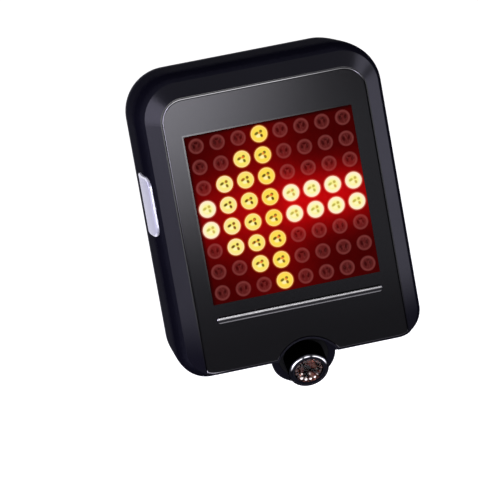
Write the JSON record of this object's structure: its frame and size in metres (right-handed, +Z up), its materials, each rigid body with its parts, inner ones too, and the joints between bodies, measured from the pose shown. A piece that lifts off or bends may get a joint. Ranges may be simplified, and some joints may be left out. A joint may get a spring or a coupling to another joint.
{
  "type": "bicycle safety light",
  "caption": "Rear bike light with an arrow dot display, a chin-mounted laser, a side button and a hinged seat-post clamp on a slide rail.",
  "frame": {"origin": "middle of the clamp's bore", "axes": "+Z up along the seat post, -Y the way the display faces, +X to the right as the display is read"},
  "size_m": [0.0511, 0.0684, 0.0631],
  "materials": {
    "case_plastic": "moulded, fine matte",
    "panel_plastic": "satin graphite",
    "trim_metal": "polished",
    "display_red": "dark red, translucent",
    "reflector_white": "moulded",
    "resin_lit": "clear resin, glowing",
    "resin_unlit": "clear resin over a dark cup",
    "led_die": "chip",
    "board_green": "solder mask",
    "foam": "closed-cell foam",
    "pin_metal": "gold plated",
    "chip_black": "moulded epoxy",
    "steel": "zinc plated",
    "black_steel": "black oxide",
    "cell_foil": "soft foil",
    "insulator_film": "film",
    "nickel": "plain",
    "button_plastic": "satin grey",
    "seal_rubber": "smooth",
    "cover_rubber": "matte",
    "barrel_black": "black anodised",
    "ring_chrome": "polished",
    "lens_glass": "clear",
    "brass": "turned",
    "clamp_plastic": "glass-filled, fine grain",
    "liner_rubber": "soft",
    "knob_plastic": "moulded"
  },
  "bodies": {
    "clamp_base": {"clamp_base": "clamp_plastic", "front_liner": "liner_rubber", "hinge_pin": "steel", "clamp_bolt": "steel"},
    "clamp_gate": {"clamp_gate": "clamp_plastic", "rear_liner": "liner_rubber"},
    "clamp_washer": {"clamp_washer": "steel"},
    "clamp_knob": {"clamp_knob": "knob_plastic", "knob_insert": "brass"},
    "light": {"front_case": "case_plastic", "rear_lid": "case_plastic", "front_panel": "panel_plastic", "trim_bar": "trim_metal", "display_face": "display_red", "display_reflector": "reflector_white", "lit_dots": "resin_lit", "unlit_dots": "resin_unlit", "led_dies": "led_die", "display_board": "board_green", "display_gasket": "foam", "display_pins": "pin_metal", "main_board": "board_green", "board_chips": "chip_black", "board_screws": "steel", "battery": "cell_foil", "battery_insulator": "insulator_film", "battery_pad": "foam", "battery_tabs": "nickel", "button_seal": "seal_rubber", "switch_body": "chip_black", "charging_port": "nickel", "port_cover_pin": "steel", "laser_barrel": "barrel_black", "laser_ring": "ring_chrome", "laser_lens": "lens_glass", "laser_retainer": "brass", "laser_diode": "brass", "laser_board": "board_green", "laser_seal": "seal_rubber", "lid_gasket": "seal_rubber", "lid_screws": "black_steel"},
    "side_button": {"side_button": "button_plastic"},
    "switch_plunger": {"switch_plunger": "button_plastic"},
    "port_cover": {"port_cover": "cover_rubber"}
  },
  "joints": [
    {"name": "light_slide", "type": "slide", "parent": "clamp_base", "child": "light", "axis": [0, 0, 1], "range_m": [0, 0.022]},
    {"name": "button_press", "type": "slide", "parent": "light", "child": "side_button", "axis": [1, 0, 0], "range_m": [0, 0.0005], "stiffness_N_per_m": 2000, "springref_m": -0.0002},
    {"name": "plunger_press", "type": "slide", "parent": "light", "child": "switch_plunger", "axis": [1, 0, 0], "range_m": [0, 0.0005]},
    {"name": "port_cover_hinge", "type": "hinge", "parent": "light", "child": "port_cover", "pos_m": [0.02215, -0.0335, -0.0108], "axis": [0, 0, 1], "range_deg": [0, 90]},
    {"name": "knob_turn", "type": "hinge", "parent": "clamp_washer", "child": "clamp_knob", "pos_m": [0.0215, 0, 0], "axis": [0, 1, 0], "range_deg": [0, 720]},
    {"name": "washer_back_off", "type": "slide", "parent": "clamp_base", "child": "clamp_washer", "axis": [0, 1, 0], "range_m": [0, 0.0014]},
    {"name": "gate_swing", "type": "hinge", "parent": "clamp_base", "child": "clamp_gate", "pos_m": [-0.0166, -0.0045, 0], "axis": [0, 0, 1], "range_deg": [0, 1.9]}
  ],
  "couplings": [
    {"joint": "plunger_press", "follows": "button_press", "ratio": 1},
    {"joint": "knob_turn", "follows": "washer_back_off", "rad_per_m": 8976},
    {"joint": "gate_swing", "follows": "washer_back_off", "rad_per_m": 22.44}
  ]
}
